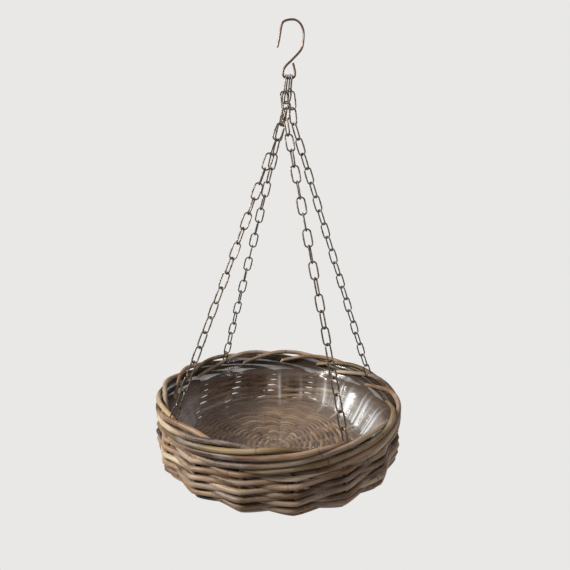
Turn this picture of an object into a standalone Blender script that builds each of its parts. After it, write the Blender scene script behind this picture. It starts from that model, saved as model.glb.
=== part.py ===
# A round rattan basket that hangs by four steel chains from one S-hook.
# The basket is woven on 16 stakes whose tops are turned down into a rolled border,
# and it holds a clear film liner.
# The origin is the point inside the hook's crook that bears the load, +Z is up
# and the camera side of the basket is -Y.

import math

import bmesh
import bpy
from mathutils import Vector

mm = 0.001

# Clearances
seat_gap = 0.3 * mm  # between pieces that touch
eye_gap = 0.9 * mm  # play of the first links on the hook's eye
side_play = 1.0 * mm  # play between the first and second links
run_bite = 0.2 * mm  # how far links of one run press into each other
pocket_gap = 0.6 * mm  # between the liner and the weave

# Hook
hook_wire = 2.8 * mm
crook_half_width = 16.0 * mm
hook_height = 67.9 * mm  # from the crown's centre line to the eye's lowest centre line
eye_half_width = 7.5 * mm
eye_half_height = 6.4 * mm
eye_roundness = 3.0  # exponent of the eye's rounded bottom
# from the crook's tip over the crown and down the slanting shank to the eye:
# shares of crook_half_width across, shares of hook_height down
hook_line_share = (
    (-0.975, 0.477), (-0.84, 0.334), (-0.70, 0.113), (-0.51, 0.035), (-0.06, 0.0),
    (0.38, 0.003), (0.73, 0.057), (0.94, 0.138), (1.03, 0.224), (1.02, 0.348),
    (0.95, 0.457), (0.74, 0.543), (0.20, 0.68), (-0.23, 0.779), (-0.43, 0.853),
)
eye_return_share = ((0.42, 0.84), (0.28, 0.735))  # the same shares, up to the wire's end

# Chains
link_pitch = 20.0 * mm
link_width = 12.0 * mm  # outside
link_wire = 2.0 * mm
link_corner_share = 0.6  # of the half width, cut off each corner
link_section_share = 1.1  # corners of the wire's section, of its radius
chain_link_count = 23
run_link_count = 10  # links in one run
eye_spacing = 2.6 * mm  # between the first links, side by side on the eye
chain_names = ("front_left", "back_left", "front_right", "back_right")
chain_angle_deg = {"front_left": 211.7, "back_left": 123.8, "front_right": 298.7, "back_right": 28.3}
# the first links of each chain, which jostle each other under the eye: slope to +X and to +Y,
# and the turn of the link about its own length
first_link_slopes = {
    "front_left": ((-0.1, -0.15, 0), (0.165, -0.215, -17), (-0.27, 0.05, 80)),
    "back_left": ((-0.11, 0.39, 0), (-0.02, 0.145, 38), (-0.18, 0.11, 129)),
    "front_right": ((-0.08, -0.56, 0), (-0.12, -0.745, 40), (-0.065, -0.095, 157)),
    "back_right": ((-0.05, 0.52, 0), (0.145, -0.065, 16), (0.11, -0.25, 149)),
}
chain_sag = 4.0 * mm  # of the straightest chain
stakes_passed = 4  # by the border rod that a chain's last link goes round, near its inner end

# Basket
stake_count = 16
first_stake_deg = 28.8
stake_wire = 5.0 * mm
rim_radius = 162.0 * mm  # of the stakes' centre line below the border
basket_depth = 87.5 * mm  # from the rim's reference height to the underside
# the stakes' centre line from the border down: shares of rim_radius and of basket_depth
wall_share = (
    (1.004, 0.26), (1.010, 0.3543), (1.020, 0.4686), (1.023, 0.5829), (1.016, 0.6914),
    (1.002, 0.7771), (0.972, 0.8457), (0.92, 0.8937), (0.875, 0.9086), (0.815, 0.912),
)

# Border: a stake's way round, in stakes passed, reach outwards and height
border_reach = 6.6 * mm
border_height = 28.8 * mm
border_step_share = (0.0, 0.5, 1.0, 2.0, 3.0, 3.3, 3.65, 4.0, 4.45)
border_out_share = (0.1, 0.8, 0.95, 1.0, 0.97, 0.7, 0.15, -0.38, -0.62)
border_up_share = (-0.79, -0.56, -0.413, -0.135, 0.142, 0.215, 0.236, 0.14, -0.12)
border_points = 11

# Weave
weaver_wire = 4.5 * mm
row_pitch = 10.0 * mm
first_row_drop = 5.5 * mm  # from the border's foot to the first row
last_row_gap = 4.5 * mm  # the least, along the wall, from the last row to the stakes' lower ends
turn_points = 32  # points round the basket
span_share = 0.984  # radius half way between two stakes, where the rods run straight, of that at a stake

# Base and liner
base_gap = 2.03 * mm  # between the base and the stakes' lower ends
base_thickness = 12.0 * mm
base_edge_share = 0.2  # bevel of the base's edge, of its thickness
liner_wall = 1.0 * mm
liner_floor_share = 0.66  # radius of the flat floor, of rim_radius
liner_tuck = 4.5 * mm  # how far inside the stakes' centre line the tucked edge lies
liner_edge_share = 0.30  # height of the tucked edge below the rim, of border_height

# Section of swept rods: sides
wire_sides = 4
rod_sides = 4
hook_sides = 6


def make_material(name, colour, roughness, metallic=0.0, alpha=1.0):
    material = bpy.data.materials.new(name)
    material.use_nodes = True
    shader = material.node_tree.nodes["Principled BSDF"]
    shader.inputs["Base Color"].default_value = (*colour, 1.0)
    shader.inputs["Roughness"].default_value = roughness
    shader.inputs["Metallic"].default_value = metallic
    shader.inputs["Alpha"].default_value = alpha
    return material


def unit(vector):
    return vector / vector.length


def smooth_line(points, count):
    """Catmull-Rom curve through the points, with count steps between each two."""
    padded = [points[0] * 2 - points[1], *points, points[-1] * 2 - points[-2]]
    line = []
    for a, b, c, d in zip(padded, padded[1:], padded[2:], padded[3:]):
        for step in range(count):
            t = step / count
            line.append(
                (b * 2 + (c - a) * t + (a * 2 - b * 5 + c * 4 - d) * t**2 + (b * 3 - a - c * 3 + d) * t**3) / 2
            )
    line.append(points[-1])
    return line


def share_curve(places, values, place):
    """Smooth value at a place between tabled places."""
    last = len(places) - 1
    i = max(k for k in range(last) if places[k] <= place or k == 0)

    def slope(k):
        low, high = max(k - 1, 0), min(k + 1, last)
        return (values[high] - values[low]) / (places[high] - places[low])

    width = places[i + 1] - places[i]
    t = (place - places[i]) / width
    start, end = slope(i) * width, slope(i + 1) * width
    rise = values[i + 1] - values[i]
    return values[i] + start * t + (3 * rise - 2 * start - end) * t**2 + (start + end - 2 * rise) * t**3


def sweep(name, points, outs, radius, sides, closed, turn=0.0):
    """Rod of a many-sided section along points; each out vector fixes how the section is turned."""
    mesh = bmesh.new()
    rings = []
    count = len(points)
    for i, point in enumerate(points):
        before = points[i - 1] if closed or i > 0 else point
        after = points[(i + 1) % count] if closed or i < count - 1 else point
        along = unit(after - before)
        out = unit(outs[i] - along * outs[i].dot(along))
        side = along.cross(out)
        ring = []
        for k in range(sides):
            angle = math.tau * (k + turn) / sides
            ring.append(mesh.verts.new(point + (out * math.cos(angle) + side * math.sin(angle)) * radius))
        rings.append(ring)
    pairs = list(zip(rings, rings[1:]))
    if closed:
        pairs.append((rings[-1], rings[0]))
    for ring, following in pairs:
        for k in range(sides):
            n = (k + 1) % sides
            mesh.faces.new((ring[k], ring[n], following[n], following[k]))
    if not closed:
        mesh.faces.new(list(reversed(rings[0])))
        mesh.faces.new(rings[-1])
    return finish(name, mesh)


def turn_profile(name, profile, segments, start):
    """Solid turned about Z from a profile of (radius, height) that starts and ends on the axis."""
    mesh = bmesh.new()
    rings = []
    for radius, height in profile:
        if radius == 0:
            rings.append([mesh.verts.new((0, 0, height))])
            continue
        ring = []
        for k in range(segments):
            angle = start + math.tau * k / segments
            ring.append(mesh.verts.new((radius * math.cos(angle), radius * math.sin(angle), height)))
        rings.append(ring)
    for low, high in zip(rings, rings[1:]):
        for k in range(segments):
            n = (k + 1) % segments
            corners = [low[k % len(low)], low[n % len(low)], high[n % len(high)], high[k % len(high)]]
            unique = list(dict.fromkeys(corners))
            mesh.faces.new(unique)
    return finish(name, mesh)


def finish(name, mesh):
    bmesh.ops.recalc_face_normals(mesh, faces=mesh.faces)
    data = bpy.data.meshes.new(name)
    mesh.to_mesh(data)
    mesh.free()
    data.shade_smooth()
    data.set_sharp_from_angle(angle=math.radians(50))
    piece = bpy.data.objects.new(name, data)
    bpy.context.collection.objects.link(piece)
    return piece


def give(piece, material):
    piece.data.materials.clear()
    piece.data.materials.append(material)
    return piece


def carry(piece, axis_empty):
    """Parents a piece to the empty on its joint's axis and leaves it where it is."""
    piece.parent = axis_empty
    piece.matrix_parent_inverse = axis_empty.matrix_world.inverted()


def make_axis(name, place):
    empty = bpy.data.objects.new(name, None)
    empty.location = place
    bpy.context.collection.objects.link(empty)
    bpy.context.view_layer.update()
    return empty


# Hook

crown_height = hook_wire / 2
eye_bottom_height = crown_height - hook_height


def hook_line():
    def place(share):
        return Vector((share[0] * crook_half_width, 0, crown_height - share[1] * hook_height))

    line = [place(share) for share in hook_line_share]
    eye_middle = eye_bottom_height + eye_half_height
    steps = 8
    for k in range(steps + 1):
        angle = math.pi * k / steps
        across = -math.cos(angle)
        down = math.sin(angle)
        power = 2 / eye_roundness
        line.append(
            Vector((
                math.copysign(abs(across) ** power, across) * eye_half_width,
                0,
                eye_middle - down**power * eye_half_height,
            ))
        )
    line.extend(place(share) for share in eye_return_share)
    return line


def make_hook(material):
    line = smooth_line(hook_line(), 2)
    outs = [Vector((0, -1, 0))] * len(line)
    return give(sweep("s_hook", line, outs, hook_wire / 2, hook_sides, False, 0.5), material)


# Basket wall and border


def wall_line():
    """The stakes' centre line in the radial plane, as (radius, height under the rim)."""
    points = [Vector((share[0] * rim_radius, 0, -share[1] * basket_depth)) for share in wall_share]
    return smooth_line(points, 6)


def wall_at(distance, line):
    """Point and outward normal of the wall's centre line, a distance down from the border's foot."""
    passed = 0.0
    for a, b in zip(line, line[1:]):
        length = (b - a).length
        if passed + length >= distance:
            break
        passed += length
    along = unit(b - a)
    point = a + along * (distance - passed)
    normal = Vector((-along.z, 0, along.x))
    return point, normal


def wall_length(line):
    return sum((b - a).length for a, b in zip(line, line[1:]))


def radial(angle):
    return Vector((math.cos(angle), math.sin(angle), 0))


def around(point, angle, rim_height):
    """Turns a point of the radial plane to an angle and lifts it to the rim."""
    return radial(angle) * point.x + Vector((0, 0, point.z + rim_height))


def stake_angle(index):
    return math.radians(first_stake_deg + 360 * index / stake_count)


def border_section(steps):
    """Centre of a border rod that has passed so many stakes, in the radial plane."""
    out = share_curve(border_step_share, border_out_share, steps) * border_reach
    up = share_curve(border_step_share, border_up_share, steps) * border_height
    return Vector((rim_radius + out, 0, up))


def row_distances():
    """As many rows as fit on the wall, down to the stakes' lower ends."""
    room = wall_length(wall_line()) - first_row_drop - last_row_gap
    rows = int(room / row_pitch) + 1
    return [first_row_drop + row * row_pitch for row in range(rows)]


def make_stake(index, rim_height, materials):
    line = wall_line()
    angle = stake_angle(index)
    points = []
    outs = []
    for distance in reversed([0.0, *row_distances(), wall_length(line)]):
        point, normal = wall_at(distance, line)
        points.append(around(point, angle, rim_height))
        outs.append(radial(angle) * normal.x + Vector((0, 0, normal.z)))
    step_angle = math.tau / stake_count
    reach = border_step_share[-1]
    for k in range(1, border_points + 1):
        steps = reach * k / border_points
        here = angle + steps * step_angle
        points.append(around(border_section(steps), here, rim_height))
        outs.append(radial(here))
    name = f"stake_{index + 1:02d}"
    return give(sweep(name, points, outs, stake_wire / 2, rod_sides, False), materials[index % len(materials)])


def make_weaver(row, second, rim_height, materials):
    """One rod of a pair: outside one stake and inside the next, crossing its partner between them."""
    line = wall_line()
    middle, normal = wall_at(row_distances()[row], line)
    upward = Vector((-normal.z, 0, normal.x))
    swing = (stake_wire + weaver_wire) / 2 + seat_gap * 1.5
    lift = (weaver_wire + seat_gap) / 2
    points = []
    outs = []
    for k in range(turn_points):
        angle = math.radians(first_stake_deg) + math.tau * k / turn_points
        wave = math.tau * k * stake_count / 2 / turn_points
        if second:
            wave += math.pi
        point = middle + normal * swing * math.cos(wave) + upward * lift * math.sin(wave)
        if k % 2:
            point.x *= span_share
        points.append(around(point, angle, rim_height))
        outs.append(radial(angle) * normal.x + Vector((0, 0, normal.z)))
    name = f"weaver_{row + 1:02d}_{'b' if second else 'a'}"
    material = materials[(row * 2 + second) % len(materials)]
    return give(sweep(name, points, outs, weaver_wire / 2, rod_sides, True), material)


def make_base(rim_height, material):
    low = rim_height - basket_depth
    high = low + base_thickness
    bevel = base_thickness * base_edge_share
    radius = wall_share[-1][0] * rim_radius - base_gap
    profile = (
        (0, low), (radius - bevel * 2, low), (radius, low + bevel),
        (radius, high - bevel), (radius - bevel, high), (0, high),
    )
    return give(turn_profile("base_weave", profile, turn_points, math.radians(first_stake_deg)), material)


def make_liner(rim_height, material):
    line = wall_line()
    reach_in = (stake_wire + weaver_wire) / 2 + seat_gap * 1.5 + weaver_wire / 2 + pocket_gap
    floor = -basket_depth + base_thickness + seat_gap
    floor_radius = rim_radius * liner_floor_share
    outer = [(0, floor), (floor_radius, floor)]
    inner = [(0, floor + liner_wall), (floor_radius - liner_wall / 2, floor + liner_wall)]
    for distance in row_distances()[-2::-2]:
        point, normal = wall_at(distance, line)
        out = point - normal * reach_in
        inside = out - normal * liner_wall
        outer.append((out.x, out.z))
        inner.append((inside.x, inside.z))
    edge = rim_radius - liner_tuck
    edge_top = -border_height * liner_edge_share
    outer.append((edge, edge_top - border_height * liner_edge_share / 2))
    outer.append((edge, edge_top))
    inner.append((edge - liner_wall, edge_top - border_height * liner_edge_share / 2))
    inner.append((edge - liner_wall, edge_top))
    profile = [(radius, height + rim_height) for radius, height in outer + inner[::-1]]
    return give(turn_profile("liner", profile, turn_points, math.radians(first_stake_deg)), material)


# Chains


def chain_anchor(name):
    """The border rod that a chain's last link goes round: its centre, from the rim's height."""
    angle = math.radians(chain_angle_deg[name])
    stake_step = 360 / stake_count
    past = (chain_angle_deg[name] - first_stake_deg) / stake_step
    steps = stakes_passed + past - round(past)
    return around(border_section(steps), angle, 0), radial(angle)


def chain_joints(name, rim_height, sag):
    """Points where a chain's links meet, from the eye to the border, and the length left over."""
    across = (chain_names.index(name) - (len(chain_names) - 1) / 2) * eye_spacing
    top = Vector((across, 0, eye_bottom_height + hook_wire / 2 + eye_gap - seat_gap / 2))
    anchor, outward = chain_anchor(name)
    anchor = anchor + Vector((0, 0, rim_height))
    end = anchor + unit(anchor - top) * (stake_wire / 2 + seat_gap / 2)
    joints = [top]
    for slope_x, slope_y, turn in first_link_slopes[name]:
        joints.append(joints[-1] + unit(Vector((slope_x, slope_y, -1))) * link_pitch)
    start = joints[-1]
    chord = end - start
    down = Vector((0, 0, -1)) - unit(chord) * (-unit(chord).z)
    down = unit(down)

    def place(t):
        return start + chord * t + down * (sag * 4 * t * (1 - t))

    t = 0.0
    while len(joints) < chain_link_count + 1:
        step = link_pitch / chord.length
        for _ in range(4):
            step *= link_pitch / (place(t + step) - joints[-1]).length
        t += step
        joints.append(place(t))
    return joints, (t - 1) * chord.length


def solve(function, low, high):
    """Value between low and high at which a rising function is zero."""
    for _ in range(40):
        middle = (low + high) / 2
        if function(middle) > 0:
            high = middle
        else:
            low = middle
    return (low + high) / 2


def find_rim_height():
    """Rim height at which the straightest chain has its usual sag."""
    full = link_pitch * chain_link_count
    heights = []
    for name in chain_names:
        heights.append(solve(lambda rim: chain_joints(name, rim, chain_sag)[1], -full * 2, -full / 2))
    return max(heights)


def chain_sag_for(name, rim_height):
    return solve(lambda sag: -chain_joints(name, rim_height, sag)[1], 0.0, link_pitch * 2)


def link_line(top, bottom, width_way, top_play, bottom_play):
    """Corner points of one link between two joints; play is added past each joint."""
    along = unit(bottom - top)
    across = unit(width_way - along * width_way.dot(along))
    half = (link_width - link_wire) / 2
    corner = half * link_corner_share
    inside = link_corner_radius() * math.cos(math.pi / wire_sides)
    high = top - along * (top_play / 2 + inside)
    low = bottom + along * (bottom_play / 2 + inside)
    points = [
        low - across * (half - corner), low + across * (half - corner),
        low - along * corner + across * half, high + along * corner + across * half,
        high + across * (half - corner), high - across * (half - corner),
        high + along * corner - across * half, low - along * corner - across * half,
    ]
    return points, along.cross(across)


def link_corner_radius():
    """The section's corners stand a little proud of the round wire."""
    return link_wire / 2 * link_section_share


def link_frame(joints, number):
    """A link's direction and the two ways across it that its turn is measured in."""
    along = unit(joints[number] - joints[number - 1])
    flat = Vector((0, 1, 0)) if number == 1 else Vector((1, 0, 0))
    across = unit(flat - along * flat.dot(along))
    return along, across, along.cross(across)


def make_link(name, joints, number, turn, top_play, bottom_play):
    """One link, turned about its own length; number 1 hangs on the eye."""
    top, bottom = joints[number - 1], joints[number]
    along, across, side = link_frame(joints, number)
    width_way = across * math.cos(turn) + side * math.sin(turn)
    points, normal = link_line(top, bottom, width_way, top_play, bottom_play)
    middle = (top + bottom) / 2
    outs = []
    for i, point in enumerate(points):
        tangent = unit(points[(i + 1) % len(points)] - points[i - 1])
        out = normal.cross(tangent)
        outs.append(out if out.dot(point - middle) > 0 else -out)
    flat_inside = 0.5 if wire_sides % 2 == 0 else 0.0
    return sweep(name, points, outs, link_corner_radius(), wire_sides, True, flat_inside)


def link_turns(name, joints):
    """Turns of a chain's links: the first jostle, then each turns by about a quarter from the one above,
    and the last stands in the radial plane, because it goes round a border rod."""
    turns = [math.radians(turn) for slope_x, slope_y, turn in first_link_slopes[name]]
    along, across, side = link_frame(joints, chain_link_count)
    outward = radial(math.radians(chain_angle_deg[name]))
    last = math.atan2(outward.dot(side), outward.dot(across))
    rest = chain_link_count - len(turns)
    quarter = math.pi / 2
    spare = (last - turns[-1] - quarter * rest + quarter) % math.pi - quarter
    for _ in range(rest):
        turns.append(turns[-1] + quarter + spare / rest)
    return turns


def join(pieces):
    """Unites two sets of pieces: every second link is one operand of the Boolean."""
    first, second = pieces[0::2], pieces[1::2]
    operands = []
    for group in (first, second):
        mesh = bmesh.new()
        for piece in group:
            mesh.from_mesh(piece.data)
        data = bpy.data.meshes.new("operand")
        mesh.to_mesh(data)
        mesh.free()
        operand = bpy.data.objects.new("operand", data)
        bpy.context.collection.objects.link(operand)
        operands.append(operand)
    union = operands[0].modifiers.new("union", "BOOLEAN")
    union.operation = "UNION"
    union.solver = "EXACT"
    union.object = operands[1]
    bpy.context.view_layer.update()
    evaluated = operands[0].evaluated_get(bpy.context.evaluated_depsgraph_get())
    united = bpy.data.meshes.new_from_object(evaluated)
    for piece in (*pieces, *operands):
        bpy.data.objects.remove(piece)
    return united


def make_run(name, joints, turns, start, end):
    pieces = []
    for number in range(start, end + 1):
        top_play = seat_gap if number == start else -run_bite
        bottom_play = seat_gap if number == end else -run_bite
        pieces.append(make_link("link", joints, number, turns[number - 1], top_play, bottom_play))
    run = bpy.data.objects.new(name, join(pieces))
    bpy.context.collection.objects.link(run)
    return run


def make_chain(name, rim_height, material):
    """The first link, and the pieces below it that swing with the basket."""
    joints, spare = chain_joints(name, rim_height, chain_sag_for(name, rim_height))
    turns = link_turns(name, joints)
    label = f"chain_{name}"
    first = make_link(f"{label}_link_01", joints, 1, turns[0], seat_gap, side_play / 2)
    below = [make_link(f"{label}_link_02", joints, 2, turns[1], side_play * 3 / 2, seat_gap)]
    start = 3
    while start + run_link_count <= chain_link_count:
        end = start + run_link_count - 1
        below.append(make_run(f"{label}_run_{start:02d}_{end:02d}", joints, turns, start, end))
        start = end + 1
    for number in range(start, chain_link_count + 1):
        below.append(make_link(f"{label}_link_{number:02d}", joints, number, turns[number - 1], seat_gap, seat_gap))
    for piece in (first, *below):
        give(piece, material)
    return first, below


def main():
    for old in list(bpy.data.objects):
        bpy.data.objects.remove(old)
    steel = make_material("zinc_plated_steel_wire", (0.36, 0.33, 0.29), 0.42, 0.9)
    hook_steel = make_material("bent_steel_wire", (0.22, 0.18, 0.16), 0.38, 0.9)
    stake_woods = [
        make_material("rattan_grey", (0.26, 0.22, 0.18), 0.68),
        make_material("rattan_olive", (0.24, 0.20, 0.13), 0.66),
        make_material("rattan_red_brown", (0.22, 0.13, 0.09), 0.62),
    ]
    weaver_woods = [
        make_material("rattan_brown", (0.20, 0.14, 0.10), 0.66),
        make_material("rattan_beige_grey", (0.34, 0.29, 0.23), 0.70),
        make_material("rattan_dark_brown", (0.13, 0.09, 0.06), 0.64),
    ]
    film = make_material("clear_film", (0.75, 0.75, 0.77), 0.15, 0.0, 0.35)

    rim_height = find_rim_height()
    swing_axis = make_axis("front_back_axis", (0, 0, eye_bottom_height))
    side_axis = make_axis("side_axis", (0, 0, eye_bottom_height))
    make_hook(hook_steel)
    hanging = []
    for name in chain_names:
        first, below = make_chain(name, rim_height, steel)
        carry(first, swing_axis)
        hanging.extend(below)
    for index in range(stake_count):
        hanging.append(make_stake(index, rim_height, stake_woods))
    for row in range(len(row_distances())):
        for second in (0, 1):
            hanging.append(make_weaver(row, second, rim_height, weaver_woods))
    hanging.append(make_base(rim_height, weaver_woods[0]))
    hanging.append(make_liner(rim_height, film))
    side_axis.location.z -= link_pitch
    bpy.context.view_layer.update()
    for piece in hanging:
        carry(piece, side_axis)
    print("rim height", round(rim_height, 5))
    for name in chain_names:
        print(name, "sag", round(chain_sag_for(name, rim_height), 5))


main()
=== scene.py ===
# Hanging rattan basket on four steel chains and an S-hook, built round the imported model
import math
import random

import bmesh
import bpy
from mathutils import Matrix, Vector


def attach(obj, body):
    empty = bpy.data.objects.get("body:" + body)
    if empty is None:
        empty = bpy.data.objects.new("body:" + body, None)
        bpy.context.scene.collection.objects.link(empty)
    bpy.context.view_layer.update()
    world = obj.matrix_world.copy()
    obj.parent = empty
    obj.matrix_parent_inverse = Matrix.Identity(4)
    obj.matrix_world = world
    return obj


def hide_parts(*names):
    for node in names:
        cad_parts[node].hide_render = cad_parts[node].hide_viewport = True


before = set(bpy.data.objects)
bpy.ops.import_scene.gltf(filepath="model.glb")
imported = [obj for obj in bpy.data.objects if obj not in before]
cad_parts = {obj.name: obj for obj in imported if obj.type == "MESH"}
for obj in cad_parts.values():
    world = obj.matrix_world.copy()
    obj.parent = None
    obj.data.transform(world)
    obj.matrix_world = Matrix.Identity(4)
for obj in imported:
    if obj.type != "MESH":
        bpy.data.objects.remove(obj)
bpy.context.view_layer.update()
mm = 0.001
print("frame loaded:", len(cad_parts), "CAD nodes")


def toLinear(hexColour):  # sRGB hex to linear RGBA
    parts = [int(hexColour[i:i + 2], 16) / 255 for i in (1, 3, 5)]
    return [p / 12.92 if p < 0.04045 else ((p + 0.055) / 1.055) ** 2.4 for p in parts] + [1.0]


def addNode(tree, kind, settings=None, inputs=None):  # a node with its settings and links
    node = tree.nodes.new("ShaderNode" + kind)
    for name, value in (settings or {}).items():
        if name == "stops":  # colour ramp stops: (place, hex colour)
            while len(node.color_ramp.elements) < len(value):
                node.color_ramp.elements.new(1.0)
            for element, (place, colour) in zip(node.color_ramp.elements, value):
                element.position = place
                element.color = toLinear(colour)
        else:
            setattr(node, name, value)
    for socket, value in (inputs or {}).items():
        if isinstance(value, bpy.types.NodeSocket):
            tree.links.new(value, node.inputs[socket])
        else:
            node.inputs[socket].default_value = value
    return node


def addNoise(tree, place, scale, detail, roughness=0.5, distortion=0.0):
    inputs = {"Vector": place, "Scale": scale, "Detail": detail,
              "Roughness": roughness, "Distortion": distortion}
    return addNode(tree, "TexNoise", None, inputs).outputs["Fac"]


def addRange(tree, value, low, high, least=0.0, most=1.0):
    inputs = {"Value": value, "From Min": low, "From Max": high, "To Min": least, "To Max": most}
    return addNode(tree, "MapRange", None, inputs).outputs["Result"]


def addRamp(tree, value, stops):
    return addNode(tree, "ValToRGB", {"stops": stops}, {"Fac": value}).outputs["Color"]


def addMix(tree, share, first, second, blend="MIX"):
    inputs = {"Fac": share, "Color1": first, "Color2": second}
    return addNode(tree, "MixRGB", {"blend_type": blend}, inputs).outputs["Color"]


def addMath(tree, operation, *values):
    return addNode(tree, "Math", {"operation": operation}, dict(enumerate(values))).outputs["Value"]


def addBump(tree, shader, height, strength, distance):
    bump = addNode(tree, "Bump", None, {"Strength": strength, "Distance": distance, "Height": height})
    tree.links.new(bump.outputs["Normal"], shader.inputs["Normal"])


def newMaterial(name):
    material = bpy.data.materials.new(name)
    material.use_nodes = True
    return material, material.node_tree, material.node_tree.nodes["Principled BSDF"]


def letGo():  # nothing selected before the next piece
    if bpy.context.object and bpy.context.object.mode != "OBJECT":
        bpy.ops.object.mode_set(mode="OBJECT")
    bpy.ops.object.select_all(action="DESELECT")


def take(piece):
    letGo()
    piece.select_set(True)
    bpy.context.view_layer.objects.active = piece


def dress(piece, material, body="basket"):
    piece.data.materials.clear()
    piece.data.materials.append(material)
    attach(piece, body)


# Paths shared with the CAD model, in metres

def unit(v):
    return v / v.length


def radial(angle):
    return Vector((math.cos(angle), math.sin(angle), 0))


def smoothLine(points, count):  # Catmull-Rom curve through the points
    padded = [points[0] * 2 - points[1], *points, points[-1] * 2 - points[-2]]
    line = []
    for a, b, c, d in zip(padded, padded[1:], padded[2:], padded[3:]):
        for step in range(count):
            t = step / count
            line.append((b * 2 + (c - a) * t + (a * 2 - b * 5 + c * 4 - d) * t**2
                         + (b * 3 - a - c * 3 + d) * t**3) / 2)
    line.append(points[-1])
    return line


def smoothValue(places, values, place):  # the value at a place, on a smooth curve through a table
    last = len(places) - 1
    i = max(k for k in range(last) if places[k] <= place or k == 0)

    def slope(k):
        low, high = max(k - 1, 0), min(k + 1, last)
        return (values[high] - values[low]) / (places[high] - places[low])

    width = places[i + 1] - places[i]
    t = (place - places[i]) / width
    start, end, rise = slope(i) * width, slope(i + 1) * width, values[i + 1] - values[i]
    return values[i] + start * t + (3 * rise - 2 * start - end) * t**2 + (start + end - 2 * rise) * t**3


basket = {
    "rimHeight": -0.49281,
    "rimRadius": 162 * mm,
    "depth": 87.5 * mm,
    "stakes": 16,
    "firstStake": 28.8,
    "stakeThick": 5.0 * mm,
    "weaverThick": 6.8 * mm,
    "rows": 8,
    "rowPitch": 10 * mm,
    "firstRow": 5.5 * mm,
    "swing": 4.0 * mm,
    "inset": 1.2 * mm,  # how far the wall shown lies inside the CAD's
    # the wall down to the floor: radius and drop, as shares of the rim's radius and the basket's depth
    "wall": ((1.004, 0.26), (1.010, 0.3543), (1.020, 0.4686), (1.023, 0.5829), (1.016, 0.6914),
             (1.002, 0.7771), (0.972, 0.8457), (0.92, 0.8937), (0.875, 0.9086), (0.815, 0.912)),
}
border = {  # the path of a rod through the border: how far out and up it lies, so many stakes on
    "reach": 5.9 * mm,
    "height": 28.8 * mm,
    "step": (0.0, 0.5, 1.0, 2.0, 3.0, 3.3, 3.65, 4.0, 4.45, 5.2),
    "out": (0.1, 0.8, 0.95, 1.0, 0.97, 0.7, 0.15, -0.38, -0.66, -0.93),
    "up": (-0.79, -0.64, -0.48, -0.205, 0.085, 0.17, 0.2, 0.12, -0.12, -0.46),
}
chainHold = {  # the line of the rods' inner ends that the last links hang on
    "reach": 5.9 * mm,
    "height": 28.8 * mm,
    "step": (3.0, 3.3, 3.65, 4.0, 4.45),
    "out": (0.97, 0.7, 0.15, -0.38, -0.62),
    "up": (0.085, 0.17, 0.2, 0.12, -0.12),
}
rimHeight = basket["rimHeight"]
stakeDegrees = 360 / basket["stakes"]
stakeTurn = math.tau / basket["stakes"]
firstStakeAngle = math.radians(basket["firstStake"])
wallLine = smoothLine([Vector((r * basket["rimRadius"] - basket["inset"], 0, -z * basket["depth"]))
                       for r, z in basket["wall"]], 6)
wallLength = sum((b - a).length for a, b in zip(wallLine, wallLine[1:]))


def wallAt(distance):  # point and outward normal, so far down the wall from the border's foot
    passed = 0.0
    for a, b in zip(wallLine, wallLine[1:]):
        if passed + (b - a).length >= distance:
            break
        passed += (b - a).length
    along = unit(b - a)
    return a + along * (distance - passed), Vector((-along.z, 0, along.x))


def around(point, angle):  # a point of the section, turned round the basket
    return radial(angle) * point.x + Vector((0, 0, point.z + rimHeight))


def stakeAngle(index):
    return math.radians(basket["firstStake"] + 360 * index / basket["stakes"])


def borderSection(steps, rods=border):
    out = smoothValue(rods["step"], rods["out"], steps) * rods["reach"]
    up = smoothValue(rods["step"], rods["up"], steps) * rods["height"]
    return Vector((basket["rimRadius"] + out, 0, up))


# The chains' places, which the border follows too

chain = {
    "pitch": 20 * mm,
    "width": 12 * mm,
    "wire": 2.0 * mm,
    "play": 0.1 * mm,  # past the joint, at each end of a link
    "swingWire": 1.8 * mm,  # of the first two links, which swing on each other
    "swingPlay": 0.45 * mm,
    "links": 23,
    "spacing": 2.6 * mm,
    "eyeGap": 0.75 * mm,
    "borderGap": 0.15 * mm,
    "mostSag": 40 * mm,
    "weld": 1.22,  # thickness of the weld bead, of the wire's
    "weldLength": 1.2 * mm,  # to each side of the leg's middle
    "angle": {"front_left": 211.7, "back_left": 123.8, "front_right": 298.7, "back_right": 28.3},
    # of the first three links: slope along X, slope along Y, turn in degrees
    "first": {
        "front_left": ((-0.1, -0.15, 0), (0.165, -0.215, -17), (-0.27, 0.05, 80)),
        "back_left": ((-0.11, 0.39, 0), (-0.02, 0.145, 38), (-0.18, 0.11, 129)),
        "front_right": ((-0.08, -0.56, 0), (-0.12, -0.745, 40), (-0.065, -0.095, 157)),
        "back_right": ((-0.05, 0.52, 0), (0.145, -0.065, 16), (0.11, -0.25, 149)),
    },
}


# Materials

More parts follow.
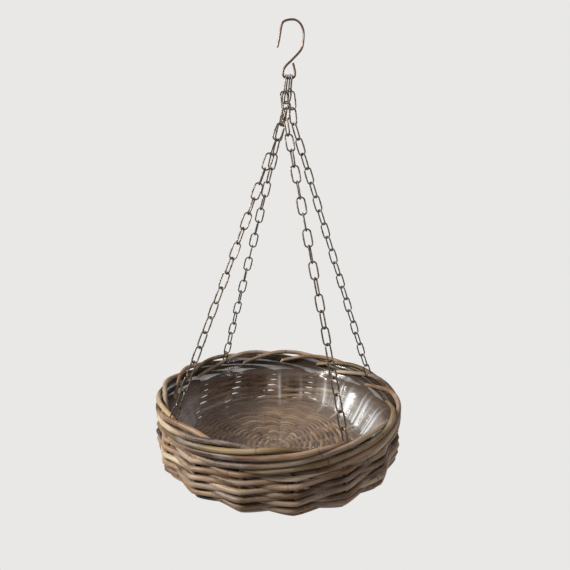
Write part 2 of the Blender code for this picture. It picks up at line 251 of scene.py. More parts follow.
def rattanMaterial(name, stops, roughness):
    # Peeled rattan core, dried and weathered: dull and fibrous, each rod a little greyer,
    # greener or redder than the next, with fine streaks along it and a dark ring at each node.
    # UV is in metres: U along the rod, V round it.
    material, tree, shader = newMaterial(name)
    uv = addNode(tree, "UVMap", {"uv_map": "UVMap"}).outputs["UV"]
    along = addNode(tree, "SeparateXYZ", None, {"Vector": uv}).outputs["X"]
    # the tone changes slowly along a rod, over 150 mm or so
    rodTone = addNode(tree, "TexNoise", {"noise_dimensions": "1D"},
                      {"W": along, "Scale": 6.5, "Detail": 1.5, "Roughness": 0.6})
    base = addRamp(tree, addRange(tree, rodTone.outputs["Fac"], 0.28, 0.72), stops)
    # fibre streaks: 0.7 mm wide, about 28 mm long
    stretch = addNode(tree, "Mapping", None, {"Vector": uv, "Scale": (36.0, 1500.0, 1.0)})
    streak = addNoise(tree, stretch.outputs["Vector"], 1.0, 2.0, 0.6)
    dark = addRamp(tree, streak, ((0.3, "#6f6259"), (0.62, "#ffffff")))
    fibred = addMix(tree, 0.7, base, dark, "MULTIPLY")
    # nodes of the cane, a dark ring 2 mm wide at each 90 mm or so
    ring = addNode(tree, "TexVoronoi", {"voronoi_dimensions": "1D", "feature": "DISTANCE_TO_EDGE"},
                   {"W": along, "Scale": 11.0})
    ringMask = addRange(tree, ring.outputs["Distance"], 0.002, 0.012)
    ringTone = addRamp(tree, ringMask, ((0.0, "#a08c7d"), (1.0, "#ffffff")))
    ringed = addMix(tree, 1.0, fibred, ringTone, "MULTIPLY")
    # grey weathering in patches about 40 mm long, each rod with its own
    spread = addNode(tree, "Mapping", None, {"Vector": uv, "Scale": (24.0, 70.0, 1.0)})
    patch = addNoise(tree, spread.outputs["Vector"], 1.0, 4.0, 0.65)
    weathered = addMix(tree, addRange(tree, patch, 0.47, 0.68, 0.0, 0.5), ringed, toLinear("#a3958a"))
    tree.links.new(weathered, shader.inputs["Base Color"])
    rough = addRange(tree, streak, 0.0, 1.0, roughness - 0.1, roughness + 0.1)
    tree.links.new(rough, shader.inputs["Roughness"])
    addBump(tree, shader, addMath(tree, "MULTIPLY", streak, ringMask), 0.5, 0.25 * mm)
    shader.inputs["Specular IOR Level"].default_value = 0.35
    return material


rattanLooks = {  # slot name: material name, colours from dark to light, roughness
    "rattan_grey": ("weatheredRattanGrey", ("#4a3a2d", "#88745f", "#b8a68e"), 0.52),
    "rattan_olive": ("weatheredRattanOlive", ("#473820", "#7c6844", "#a6916a"), 0.52),
    "rattan_red_brown": ("weatheredRattanRedBrown", ("#442c1b", "#73563d", "#9c8064"), 0.48),
    "rattan_brown": ("driedRattanBrown", ("#483422", "#7b6043", "#a88d6c"), 0.5),
    "rattan_beige_grey": ("driedRattanBeigeGrey", ("#5f4c3b", "#97826a", "#c2b197"), 0.54),
    "rattan_dark_brown": ("driedRattanDarkBrown", ("#362417", "#61472f", "#8c6e50"), 0.5),
}
rattans = {slotName: rattanMaterial(name, tuple(zip((0.1, 0.5, 0.9), colours)), roughness)
           for slotName, (name, colours, roughness) in rattanLooks.items()}


def cutMaterial():
    # Freshly cut rattan end: pale open pores on a slanting cut
    material, tree, shader = newMaterial("cutRattanEnd")
    place = addNode(tree, "TexCoord").outputs["Object"]
    pores = addNode(tree, "TexVoronoi", None, {"Vector": place, "Scale": 1800.0}).outputs["Distance"]
    colour = addRamp(tree, pores, ((0.1, "#7a6550"), (0.45, "#c3ad92")))
    tree.links.new(colour, shader.inputs["Base Color"])
    shader.inputs["Roughness"].default_value = 0.8
    return material


def steelMaterial(name, clean, tarnished, roughness, patchSize):
    # Zinc-plated steel wire, dulled outdoors: grey metal with brown tarnish in small patches
    material, tree, shader = newMaterial(name)
    place = addNode(tree, "TexCoord").outputs["Object"]
    patch = addNoise(tree, place, 1 / patchSize, 4.0, 0.6)
    colour = addRamp(tree, patch, ((0.38, clean), (0.66, tarnished)))
    tree.links.new(colour, shader.inputs["Base Color"])
    rough = addRange(tree, patch, 0.3, 0.7, roughness - 0.08, roughness + 0.14)
    tree.links.new(rough, shader.inputs["Roughness"])
    metal = addRange(tree, patch, 0.4, 0.75, 0.95, 0.7)
    tree.links.new(metal, shader.inputs["Metallic"])
    addBump(tree, shader, addNoise(tree, place, 500.0, 2.0), 0.2, 0.03 * mm)
    return material


def filmMaterial():
    # Clear polythene film, blown and folded: glossy and a little milky, with painted highlights along
    # the ridges of its folds and a painted whitish sheen in broad stretches, and brown dust with painted
    # shade where it is gathered under the border and in the corner of the floor (both marks are stored on the
    # sheet's points)
    material, tree, shader = newMaterial("clearPolytheneFilm")
    place = addNode(tree, "TexCoord").outputs["Object"]
    crease = addNode(tree, "Attribute", {"attribute_name": "crease"}).outputs["Fac"]
    dust = addNode(tree, "Attribute", {"attribute_name": "dust"}).outputs["Fac"]
    haze = addRange(tree, addNoise(tree, place, 26.0, 5.0, 0.62, 1.2), 0.4, 0.7, 0.08, 0.3)
    # dust with painted shade, and the painted highlights and sheen, make the film less clear
    dustShadeAndHaze = addMath(tree, "MULTIPLY_ADD", dust, 0.45, haze)
    whole = addNode(tree, "Mix", {"data_type": "FLOAT"}, {"Factor": crease, "A": dustShadeAndHaze, "B": 0.6})
    tree.links.new(whole.outputs["Result"], shader.inputs["Alpha"])
    # the film's own milky grey-brown, whitened towards #dde1e4 by the painted highlights and sheen
    colour = addRamp(tree, crease, ((0.03, "#8e7d71"), (0.55, "#dde1e4")))
    # brown dust and painted shade darken the film towards #3a2f28
    tree.links.new(addMix(tree, dust, colour, toLinear("#3a2f28")), shader.inputs["Base Color"])
    shader.inputs["Roughness"].default_value = 0.22
    shader.inputs["IOR"].default_value = 1.6
    shader.inputs["Specular IOR Level"].default_value = 0.25
    shader.inputs["Coat Weight"].default_value = 0.15
    shader.inputs["Coat Roughness"].default_value = 0.04
    addBump(tree, shader, addNoise(tree, place, 45.0, 3.0, 0.55, 0.8), 0.6, 1.6 * mm)
    return material


cutEnd = cutMaterial()
hookSteel = steelMaterial("tarnishedHookSteel", "#7a6b61", "#56433a", 0.4, 14 * mm)
chainSteel = steelMaterial("zincPlatedChainSteel", "#736b62", "#4d4037", 0.38, 7 * mm)
film = filmMaterial()
print("materials made")


# Rods

def makeRod(name, points, thickness, closed=False, sides=3, swell=0.05, seed=0, uvStart=0.0, shape=None):
    # a curve through the points, its bevel as thick as the rod, made a mesh;
    # shape gives the share of the thickness at each point
    letGo()
    if closed:
        bpy.ops.curve.primitive_bezier_circle_add(radius=0.1)
    else:
        bpy.ops.curve.primitive_bezier_curve_add(radius=0.1)
    curve = bpy.context.object.data
    curve.splines.clear()
    spline = curve.splines.new("POLY")
    spline.points.add(len(points) - 1)
    chance = random.Random(seed)
    phases = [chance.uniform(0, math.tau) for _ in range(2)]
    for i, (dot, p) in enumerate(zip(spline.points, points)):
        turn = math.tau * i / len(points)
        wave = math.sin(turn * 2 + phases[0]) + math.sin(turn * 5 + phases[1])
        dot.co = (*p, 1)
        dot.radius = (shape[i] if shape else 1) * (1 + swell * wave / 2)
    spline.use_cyclic_u = closed
    curve.dimensions = "3D"
    curve.bevel_depth = thickness / 2
    curve.bevel_resolution = sides
    curve.use_fill_caps = not closed
    bpy.ops.object.convert(target="MESH")
    piece = bpy.context.object
    piece.name = name
    length = sum((b - a).length for a, b in zip(points, points[1:]))
    for loop in piece.data.uv_layers[0].data:  # UV in metres
        loop.uv = (uvStart + loop.uv[0] * length, loop.uv[1] * math.pi * thickness)
    bpy.ops.object.shade_smooth()
    return piece


def cutEndSlanting(piece, place, direction, material):
    take(piece)
    bpy.ops.object.mode_set(mode="EDIT")
    bpy.ops.mesh.select_all(action="SELECT")
    bpy.ops.mesh.bisect(plane_co=place, plane_no=direction, use_fill=True, clear_outer=True)
    bpy.ops.object.mode_set(mode="OBJECT")
    piece.data.materials.append(material)
    for face in piece.data.polygons:  # the faces that lie on the cut
        if (face.center - place).dot(direction) > -0.02 * mm and abs(face.normal.dot(direction)) > 0.99:
            face.material_index = 1
            face.use_smooth = False


stake = {
    "seed": 40,
    "pointsPerStep": 9,
    "uprightPoints": 14,
    "borderThick": 6.9 * mm,
    "uprightShare": 0.75,  # of the border's thickness, in the wall and at the tip
    "wander": 1.4 * mm,
    "cutSlant": 0.75,
    "uneven": 0.5,  # how many steps sooner a rod may end
    "holds": (3.45, 4.55),  # the steps round the border between which a rod holds a chain
    "tones": ("rattan_grey", "rattan_olive", "rattan_red_brown"),
}
bent = {  # the rod whose end comes away inwards and drops at a sharp bend, in steps round the border
    "index": 2,
    "end": 4.45,
    "awayFrom": 3.3,
    "awaySteps": 0.5,
    "inwards": 6 * mm,
    "upwards": 4 * mm,
    "dropsFrom": 4.0,
    "dropPerStep": 50 * mm,
}


def stakeSection(index, steps, lean, holdsChain):  # where a stake's border rod lies, so many stakes on
    section = borderSection(steps)
    loose = min(1.0, steps, 4 - min(4, steps)) if holdsChain else min(1.0, steps)
    section.x -= loose * abs(lean[0] * math.sin(steps * 1.7 + lean[1] * 900))
    section.z += loose * 2.0 * lean[2] * math.sin(steps * 1.3 + lean[3] * 900)
    if index == bent["index"] and steps > bent["awayFrom"]:
        away = min(1.0, (steps - bent["awayFrom"]) / bent["awaySteps"])
        section.x -= bent["inwards"] * away
        section.z += bent["upwards"] * away - bent["dropPerStep"] * max(0.0, steps - bent["dropsFrom"])
    return section


uprightRows = [0.0] + [wallLength * k / stake["uprightPoints"] for k in range(1, stake["uprightPoints"] + 1)]
for index in range(basket["stakes"]):
    chance = random.Random(stake["seed"] + index)
    angle = stakeAngle(index)
    points = [around(wallAt(distance)[0], angle) for distance in reversed(uprightRows)]
    lean = [chance.uniform(-1, 1) * stake["wander"] for _ in range(4)]
    passed = [(degrees - math.degrees(angle)) / stakeDegrees % basket["stakes"]
              for degrees in chain["angle"].values()]
    holdsChain = any(stake["holds"][0] < p < stake["holds"][1] for p in passed)
    tail = border["step"][-1] - (0 if holdsChain else chance.uniform(0, stake["uneven"]))
    if index == bent["index"]:
        tail = bent["end"]
    count = int(tail * stake["pointsPerStep"])
    shape = [stake["uprightShare"]] * len(points)
    for k in range(1, count + 1):
        steps = tail * k / count
        points.append(around(stakeSection(index, steps, lean, holdsChain), angle + steps * stakeTurn))
        # thinner over the first and the last quarter
        shape.append(1 - (1 - stake["uprightShare"]) * max(1 - 4 * k / count, 4 * k / count - 3, 0))
    tone = stake["tones"][index % 3]
    piece = makeRod(f"stakeRod{index + 1:02d}", points, stake["borderThick"], sides=3, seed=index,
                    uvStart=index * 3.7, shape=shape)
    dress(piece, rattans[tone])
    tip = points[-1] + (points[-2] - points[-1]) * 0.9
    slant = unit(unit(points[-1] - points[-2]) + Vector((0, 0, 1)) * stake["cutSlant"])
    cutEndSlanting(piece, tip, slant, cutEnd)
    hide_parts(f"stake_{index + 1:02d}")
print("stakes and border made")


weaver = {
    "seed": 90,
    "points": 192,
    "lift": 2.8 * mm,
    "wander": 0.2 * mm,
    "kink": 0.86,
    "straight": 0.9,
    "tones": ("rattan_brown", "rattan_beige_grey", "rattan_dark_brown"),
}


def kinked(turn):  # a cosine pulled straight between its turns
    return math.asin(weaver["kink"] * math.cos(turn)) / math.asin(weaver["kink"])


def straightShare(turn):  # how much nearer to the middle a rod runs between stakes than round a ring
    half = math.pi / basket["stakes"]
    away = (turn * 2 * half / math.pi) % (2 * half) - half
    return 1 - weaver["straight"] * (1 - math.cos(half) / math.cos(away))


for row in range(basket["rows"]):
    for second in (0, 1):
        number = row * 2 + second
        letter = "ab"[second]
        chance = random.Random(weaver["seed"] + number)
        phases = [chance.uniform(0, math.tau) for _ in range(2)]
        middle, normal = wallAt(basket["firstRow"] + row * basket["rowPitch"])
        upward = Vector((-normal.z, 0, normal.x))
        points = []
        for k in range(weaver["points"]):
            share = k / weaver["points"]
            angle = firstStakeAngle + math.tau * share
            wave = math.tau * share * basket["stakes"] / 2 + math.pi * second
            drift = weaver["wander"] * (math.sin(angle * 3 + phases[0]) + math.sin(angle * 7 + phases[1])) / 2
            point = middle + normal * basket["swing"] * kinked(wave)
            point = point + upward * (weaver["lift"] * math.sin(wave) + drift)
            point.x *= straightShare(math.pi * share * basket["stakes"])
            points.append(around(point, angle))
        tone = weaver["tones"][number % 3]
        piece = makeRod(f"weaverRod{row + 1:02d}{letter}", points, basket["weaverThick"], True, 3,
                        seed=200 + number, uvStart=70 + row * 5.3 + second * 2.1)
        dress(piece, rattans[tone])
        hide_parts(f"weaver_{row + 1:02d}_{letter}")
print("weavers made")


# Woven base

base = {
    "rodThick": 5.5 * mm,
    "spokes": 8,
    "spokeThick": 3.4 * mm,
    "spokeReach": 128 * mm,
    "spokeLift": 0.7 * mm,
    "rows": 15,
    "pitch": 8.1 * mm,
    "firstRadius": 17 * mm,
    "wideFrom": 60 * mm,  # the radius from which the rods swing sideways by a quarter of the pitch
    "middle": 6.2 * mm,
    "swing": 3.3 * mm,
    "points": 96,
}
baseMiddle = rimHeight - basket["depth"] + base["middle"]
parts = []
for k in range(base["spokes"]):  # sticks across, in turn a little lower and higher in the middle
    angle = stakeAngle(k)
    lift = base["spokeLift"] if k % 2 else -base["spokeLift"]
    ends = [radial(angle) * s * base["spokeReach"] + Vector((0, 0, baseMiddle + lift * (1 - abs(s))))
            for s in (-1, -0.5, 0, 0.5, 1)]
    parts.append(makeRod("baseSpoke", smoothLine(ends, 4), base["spokeThick"], uvStart=k * 1.9, seed=k))
for row in range(base["rows"]):
    for second in (0, 1):
        radius = base["firstRadius"] + row * base["pitch"]
        sideways = min(1.0, radius / base["wideFrom"]) * base["pitch"] / 4
        points = []
        for k in range(base["points"]):
            share = k / base["points"]
            wave = math.tau * share * basket["stakes"] / 2 + math.pi * second
            points.append(radial(firstStakeAngle + math.tau * share) * (radius + sideways * math.sin(wave))
                          + Vector((0, 0, baseMiddle + base["swing"] * math.cos(wave))))
        parts.append(makeRod("baseRing", points, base["rodThick"], True, 2,
                             seed=row, uvStart=row * 2.3 + second))
letGo()
for part in parts:
    part.select_set(True)
bpy.context.view_layer.objects.active = parts[0]
bpy.ops.object.join()
wovenBase = bpy.context.object
wovenBase.name = "wovenBase"
dress(wovenBase, rattans["rattan_brown"])
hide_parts("base_weave")
print("base made")


# Film liner: one thin sheet pressed against the weave, with standing folds and straight stretches

liner = {
    "thick": 0.25 * mm,
    "round": 432,
    "clear": 0.5 * mm,
    "floorClear": 0.3 * mm,
    "wrinkle": 0.35 * mm,
    # rows under the border: how far inside the rim, share of the border's height, how loose, how much dust
    # and painted shade
    "tucked": ((0.5 * mm, 0.04, 0.0, 1.0), (0.7 * mm, -0.28, 0.0, 1.0),
               (1.5 * mm, -0.60, 0.1, 0.9), (9.6 * mm, -0.80, 0.3, 0.7)),
    "wallShare": 0.86,  # how much of the wall it covers before it turns to the floor
    # dust and painted shade on the wall rows, heaviest under the border and towards the floor's corner
    "wallDustAndShade": (0.5, 0.15, 0, 0, 0, 0, 0, 0, 0.05, 0.25, 0.4),
    "looseRows": 8,
    "lowerLoose": 0.6,
    "floorRadii": tuple((112 - 13.5 * k) * mm for k in range(9)),
    # dust and painted shade in the corner where the floor meets the wall
    "floorEdgeDustAndShade": 0.12,
    # place in degrees, half width in degrees, height in mm, how bright the painted highlight along its ridge
    # is
    "folds": ((-22, 4, 3, 0.25), (-9, 3, 4, 0.5), (2, 2.2, 6, 1.0), (7, 1.6, 4, 0.6),
              (19, 2.5, 5, 0.7), (24, 1.4, 3, 1.0), (36, 4, 6, 0.5), (44, 1.6, 4, 0.9),
              (57, 3, 4, 0.4), (74, 2, 2.5, 0.15), (88, 2.6, 5, 0.35), (103, 3, 2, 0.05),
              (117, 1.6, 3, 0.2), (140, 5, 3, 0.0), (173, 9, 7, 0.05), (199, 7, 4.5, 0.05),
              (231, 8, 3.5, 0.1), (262, 6, 3, 0.1), (290, 7, 3.5, 0.1), (318, 5, 4, 0.15)),
    "foldSlant": 20,  # degrees per metre, from 50 mm under the rim
    "slantFrom": -50 * mm,
    "highlightShare": 0.45,  # the painted highlight's width, as a share of a fold's width
    # the stretches where it hangs straight instead of following the weave: middle, half width, share
    "straight": ((14, 42, 0.9), (88, 9, 0.5), (172, 20, 0.8), (250, 40, 0.3)),
    "straightRadii": (155 * mm, 118 * mm),  # at straightFrom and at the floor
    "straightFrom": -18 * mm,
    # the stretches with painted light, a whitish sheen: on the back right a painted reflection of the lamps,
    # on the left painted light over the shaded wall; middle, half width, even share, share in streaks
    "sheenStretches": ((14, 48, 0.26, 0.3), (168, 30, 0.2, 0.08)),
}


def degreesFrom(place, degrees):
    return (degrees - place + 180) % 360 - 180


def bell(away, width, power):
    return math.exp(-abs(away / width) ** power)


reachIn = (basket["stakeThick"] + basket["weaverThick"]) / 2 + basket["weaverThick"] / 2 + liner["clear"]
floorHeight = baseMiddle - rimHeight + base["swing"] + base["rodThick"] / 2 + liner["floorClear"]
linerRows = []  # radius, height, how loose it hangs, how much dust and painted shade it has
for inside, share, loose, dust in liner["tucked"]:
    linerRows.append((basket["rimRadius"] - inside, border["height"] * share, loose, dust))
for k, dust in enumerate(liner["wallDustAndShade"], 1):
    point, normal = wallAt(wallLength * liner["wallShare"] * k / len(liner["wallDustAndShade"]))
    out = point - normal * reachIn
    linerRows.append((out.x, out.z, 1.0 if k <= liner["looseRows"] else liner["lowerLoose"], dust))
for k, radius in enumerate(liner["floorRadii"]):
    linerRows.append((radius, floorHeight, 0.0, liner["floorEdgeDustAndShade"] if k == 0 else 0.0))
grid = bmesh.new()
rings = []
paintedLights = []
dustAndShades = []
for radius, height, loose, dust in linerRows:
    ring = []
    downShare = (height - liner["straightFrom"]) / (floorHeight - liner["straightFrom"])
    topRadius, floorRadius = liner["straightRadii"]
    straightRadius = topRadius + (floorRadius - topRadius) * downShare
    slant = liner["foldSlant"] * (height - liner["slantFrom"])
    for k in range(liner["round"]):
        degrees = 360 * k / liner["round"]
        inward = 0.0
        crease = 0.0
        for place, width, tall, highlightStrength in liner["folds"]:
            away = degreesFrom(place + slant, degrees)
            inward += tall * mm * bell(away, width, 1.3)
            # a painted highlight along each fold's ridge
            crease += highlightStrength * bell(away, liner["highlightShare"] * width, 2)
        for place, width, share in liner["straight"]:
            inward += share * max(0.0, radius - straightRadius) * bell(degreesFrom(place, degrees), width, 4)
        wrinkle = math.sin(degrees * 0.31 + height * 260) * math.sin(degrees * 0.83 - height * 190)
        inward += liner["wrinkle"] * wrinkle
        point = radial(math.radians(degrees)) * (radius - inward * loose) + Vector((0, 0, height + rimHeight))
        ring.append(grid.verts.new(point))
        # painted sheen over the broad stretches, partly in streaks, less where the dust and painted shade lie
        streak = max(0.0, math.sin(degrees * 1.9 + 3 * math.sin(degrees * 0.23) + height * 40)) ** 4
        for place, width, even, sheenStreaks in liner["sheenStretches"]:
            crease += (even + sheenStreaks * streak) * bell(degreesFrom(place, degrees), width, 4) * (1 - dust)
        paintedLights.append(min(1.0, crease) * loose)
        dustAndShades.append(dust)
    rings.append(ring)
centre = grid.verts.new((0, 0, floorHeight + rimHeight))
for top, bottom in zip(rings, rings[1:]):
    for k in range(liner["round"]):
        n = (k + 1) % liner["round"]
        grid.faces.new((top[k], bottom[k], bottom[n], top[n]))
for k in range(liner["round"]):
    grid.faces.new((rings[-1][k], centre, rings[-1][(k + 1) % liner["round"]]))
sheet = bpy.data.meshes.new("filmLiner")
grid.to_mesh(sheet)
grid.free()
sheet.attributes.new("crease", "FLOAT", "POINT").data.foreach_set("value", paintedLights + [0.0])
sheet.attributes.new("dust", "FLOAT", "POINT").data.foreach_set("value", dustAndShades + [0.0])
filmLiner = bpy.data.objects.new("filmLiner", sheet)
bpy.context.collection.objects.link(filmLiner)
take(filmLiner)
bpy.ops.object.mode_set(mode="EDIT")
bpy.ops.mesh.select_all(action="SELECT")
bpy.ops.mesh.normals_make_consistent(inside=False)
bpy.ops.object.mode_set(mode="OBJECT")
wallThickness = filmLiner.modifiers.new("wallThickness", "SOLIDIFY")
wallThickness.thickness = liner["thick"]
wallThickness.offset = 0
bpy.ops.object.modifier_apply(modifier="wallThickness")
bpy.ops.object.shade_smooth()
dress(filmLiner, film)
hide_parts("liner")
print("liner made")


# Chains, whose first links hang on the hook's eye

hook = {
    "wire": 2.8 * mm,
    "halfWidth": 16 * mm,
    "height": 67.9 * mm,
    "eyeHalfWidth": 7.5 * mm,
    "eyeHalfHeight": 6.4 * mm,
    # from the crook's tip to the eye, and the end behind the shank: shares of the half width and the height
    "line": ((-0.975, 0.477), (-0.84, 0.334), (-0.70, 0.113), (-0.51, 0.035), (-0.06, 0.0), (0.38, 0.003),
             (0.73, 0.057), (0.94, 0.138), (1.03, 0.224), (1.02, 0.348), (0.95, 0.457), (0.74, 0.543),
             (0.20, 0.68), (-0.23, 0.779), (-0.43, 0.853)),
    "back": ((0.42, 0.84), (0.28, 0.735)),
}
eyeBottom = hook["wire"] / 2 - hook["height"]


def chainJoints(name, sag):  # where links meet, from the eye to the border, and the length left over
    across = (list(chain["angle"]).index(name) - 1.5) * chain["spacing"]
    top = Vector((across, 0, eyeBottom + hook["wire"] / 2 + chain["eyeGap"]))
    degrees = chain["angle"][name]
    past = (degrees - basket["firstStake"]) / stakeDegrees
    anchor = around(borderSection(4 + past - round(past), chainHold), math.radians(degrees))
    end = anchor + unit(anchor - top) * (basket["stakeThick"] / 2 + chain["borderGap"])
    joints = [top]
    for slopeX, slopeY, _ in chain["first"][name]:
        joints.append(joints[-1] + unit(Vector((slopeX, slopeY, -1))) * chain["pitch"])
    start = joints[-1]
    chord = end - start
    down = unit(Vector((0, 0, -1)) + unit(chord) * unit(chord).z)
    t = 0.0
    while len(joints) <= chain["links"]:
        step = chain["pitch"] / chord.length
        for _ in range(4):
            place = start + chord * (t + step) + down * (sag * 4 * (t + step) * (1 - t - step))
            step *= chain["pitch"] / (place - joints[-1]).length
        t += step
        joints.append(start + chord * t + down * (sag * 4 * t * (1 - t)))
    return joints, (t - 1) * chord.length


def chainSag(name):  # the sag at which the last link just reaches the border
    low, high = 0.0, chain["mostSag"]
    for _ in range(40):
        middle = (low + high) / 2
        if chainJoints(name, middle)[1] > 0:
            low = middle
        else:
            high = middle
    return low


def linkFrame(joints, number):
    along = unit(joints[number] - joints[number - 1])
    flat = Vector((0, 1, 0)) if number == 1 else Vector((1, 0, 0))
    across = unit(flat - along * flat.dot(along))
    return along, across, along.cross(across)


def linkTurns(name, joints):  # a quarter turn from link to link, shared out to reach the border squarely
    turns = [math.radians(turn) for _, _, turn in chain["first"][name]]
    _, across, side = linkFrame(joints, chain["links"])
    outward = radial(math.radians(chain["angle"][name]))
    last = math.atan2(outward.dot(side), outward.dot(across))
    rest = chain["links"] - len(turns)
    spare = (last - turns[-1] - math.pi / 2 * rest + math.pi / 2) % math.pi - math.pi / 2
    for _ in range(rest):
        turns.append(turns[-1] + math.pi / 2 + spare / rest)
    return turns


def makeLinkModel(wire, play):  # a ring stretched to an oval, with a weld bead half way down one leg
    legX = (chain["width"] - chain["wire"]) / 2
    letGo()
    bpy.ops.mesh.primitive_torus_add(major_segments=20, minor_segments=10, major_radius=legX,
                                     minor_radius=wire / 2, rotation=(math.pi / 2, 0, 0))
    model = bpy.context.object
    bpy.ops.object.transform_apply(location=True, rotation=True, scale=True)
    half = chain["pitch"] / 2 - chain["width"] / 2 + chain["wire"] + play
    for vertex in model.data.vertices:  # the two halves move apart, which leaves straight legs
        if abs(vertex.co.z) > 0.01 * mm:
            vertex.co.z += math.copysign(half, vertex.co.z)
    bpy.ops.object.mode_set(mode="EDIT")
    mesh = bmesh.from_edit_mesh(model.data)
    legs = [e for e in mesh.edges if abs(e.verts[0].co.z - e.verts[1].co.z) > half * 0.6]
    bmesh.ops.subdivide_edges(mesh, edges=legs, cuts=3)
    bmesh.update_edit_mesh(model.data)
    bpy.ops.object.mode_set(mode="OBJECT")
    for vertex in model.data.vertices:
        if vertex.co.x > 0 and abs(vertex.co.z) < chain["weldLength"]:
            vertex.co.x = legX + (vertex.co.x - legX) * chain["weld"]
            vertex.co.y *= chain["weld"]
    bpy.ops.object.shade_smooth()
    return model


linkModel = makeLinkModel(chain["wire"], chain["play"])
swingLinkModel = makeLinkModel(chain["swingWire"], chain["swingPlay"])
for name in chain["angle"]:
    joints = chainJoints(name, chainSag(name))[0]
    turns = linkTurns(name, joints)
    label = "".join(word.capitalize() for word in name.split("_"))
    for number in range(1, chain["links"] + 1):
        along, across, side = linkFrame(joints, number)
        turn = turns[number - 1]
        width = across * math.cos(turn) + side * math.sin(turn)
        place = Matrix((width, along.cross(width) * -1, along * -1)).transposed().to_4x4()
        place.translation = (joints[number] + joints[number - 1]) / 2
        model = swingLinkModel if number < 3 else linkModel
        link = model.copy()
        link.data = model.data.copy()
        link.name = f"link{label}{number:02d}"
        bpy.context.collection.objects.link(link)
        link.data.transform(place)
        dress(link, chainSteel, "top_links" if number == 1 else "basket")
        if number in (1, 2, 23):  # the CAD model has these links by themselves, and the rest in runs of ten
            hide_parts(f"chain_{name}_link_{number:02d}")
        elif number in (3, 13):
            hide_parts(f"chain_{name}_run_{number:02d}_{number + 9:02d}")
bpy.data.objects.remove(linkModel)
bpy.data.objects.remove(swingLinkModel)
print("chains made")


# Hook

def hookPlace(share):
    return Vector((share[0] * hook["halfWidth"], 0, hook["wire"] / 2 - share[1] * hook["height"]))


def makeHook():
    line = [hookPlace(share) for share in hook["line"]]
    eyeMiddle = eyeBottom + hook["eyeHalfHeight"]
    for k in range(9):  # the eye's lower half, rounder at its corners than an oval
        angle = math.pi * k / 8
        across, down = -math.cos(angle), math.sin(angle)
        line.append(Vector((math.copysign(abs(across) ** (2 / 3), across) * hook["eyeHalfWidth"], 0,
                            eyeMiddle - down ** (2 / 3) * hook["eyeHalfHeight"])))
    line.extend(hookPlace(share) for share in hook["back"])
    return makeRod("hookWire", smoothLine(line, 6), hook["wire"], sides=4, swell=0.0)


hookWire = makeHook()
dress(hookWire, hookSteel, "hook")
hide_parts("s_hook")
print("hook made")


# Floor, light and camera

stage = {"floorDrop": 1.6, "floorRadius": 6, "background": "#e9e8e6", "air": "#dfe3ea", "airStrength": 0.24}


def stageMaterial():
    # Matt pale paint; beyond the object's foot it shows its own plain colour, so no horizon is seen
    material, tree, shader = newMaterial("paleMattFloor")
    shader.inputs["Base Color"].default_value = toLinear(stage["background"])
    shader.inputs["Roughness"].default_value = 0.9
    plain = addNode(tree, "Emission", None, {"Color": toLinear(stage["background"]), "Strength": 1.0})
    rays = addNode(tree, "LightPath")
    place = addNode(tree, "TexCoord")
    away = addNode(tree, "VectorMath", {"operation": "LENGTH"}, {0: place.outputs["Object"]})
    far = addRange(tree, away.outputs["Value"], 0.35, 0.9)
    seen = addMath(tree, "MAXIMUM", rays.outputs["Is Camera Ray"], rays.outputs["Is Glossy Ray"])
    mask = addMath(tree, "MULTIPLY", far, seen)
    mix = addNode(tree, "MixShader", None, {0: mask, 1: shader.outputs["BSDF"], 2: plain.outputs["Emission"]})
    tree.links.new(mix.outputs["Shader"], tree.nodes["Material Output"].inputs["Surface"])
    return material


letGo()
bpy.ops.mesh.primitive_circle_add(vertices=64, radius=stage["floorRadius"], fill_type="NGON",
                                  location=(0, 0, 0))
floor = bpy.context.object
floor.name = "floor"
floor.location.z = -stage["floorDrop"]
floor.data.materials.append(stageMaterial())

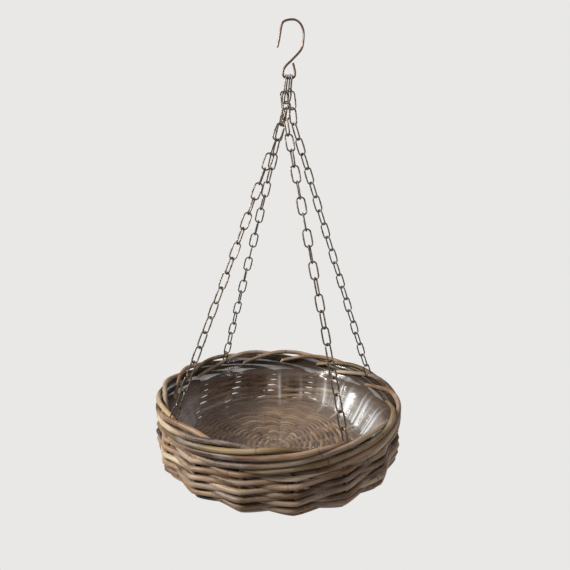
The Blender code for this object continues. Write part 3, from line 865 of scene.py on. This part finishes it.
world = bpy.context.scene.world or bpy.data.worlds.new("studio")
bpy.context.scene.world = world
world.use_nodes = True
sky = world.node_tree
sky.nodes.clear()
rays = addNode(sky, "LightPath")
soft = addNode(sky, "Background", None, {"Color": toLinear(stage["air"]), "Strength": stage["airStrength"]})
plain = addNode(sky, "Background", None, {"Color": toLinear(stage["background"]), "Strength": 1.0})
seen = addMath(sky, "MAXIMUM", rays.outputs["Is Camera Ray"], rays.outputs["Is Transmission Ray"])
mix = addNode(sky, "MixShader", None,
              {0: seen, 1: soft.outputs["Background"], 2: plain.outputs["Background"]})
addNode(sky, "OutputWorld", None, {"Surface": mix.outputs["Shader"]})


def addLight(name, place, size, power, colour):
    letGo()
    bpy.ops.object.light_add(type="AREA", location=place)
    lamp = bpy.context.object
    lamp.name = name
    lamp.data.shape = "SQUARE"
    lamp.data.size = size
    lamp.data.energy = power
    lamp.data.color = toLinear(colour)[:3]
    aim = Vector((0, 0, -0.45)) - Vector(place)
    lamp.rotation_euler = aim.to_track_quat("-Z", "Y").to_euler()


addLight("keyLight", (-1.38, -0.38, 0.42), 0.45, 52, "#fffaf4")
addLight("fillLight", (1.35, -0.9, 0.25), 0.45, 8, "#ffeee4")
addLight("topLight", (0.45, 0.3, 0.95), 0.8, 9.5, "#f6f9ff")

camera = {  # fitted to the links and the rim; angles in radians, focal length in pixels
    "place": (-0.01905, -0.72239, -0.16919),
    "down": 0.22115,
    "yaw": 0.03109,
    "roll": 0.03208,
    "focal": 545.55,
    "pixels": 570,
    "sensor": 36,
}
yaw, down, roll = camera["yaw"], camera["down"], camera["roll"]
ahead = Vector((math.sin(yaw) * math.cos(down), math.cos(yaw) * math.cos(down), -math.sin(down)))
right = unit(ahead.cross(Vector((0, 0, 1))))
up = right.cross(ahead)
imageRight = right * math.cos(roll) + up * math.sin(roll)
imageUp = up * math.cos(roll) - right * math.sin(roll)
letGo()
bpy.ops.object.camera_add()
eye = bpy.context.object
eye.name = "photoCamera"
pose = Matrix((imageRight, imageUp, ahead * -1)).transposed().to_4x4()
pose.translation = Vector(camera["place"])
eye.matrix_world = pose
eye.data.sensor_width = camera["sensor"]
eye.data.lens = camera["focal"] / camera["pixels"] * camera["sensor"]
eye.data.clip_start = 0.01
bpy.context.scene.camera = eye
bpy.context.scene.view_settings.view_transform = "Standard"
print("floor, light and camera set")
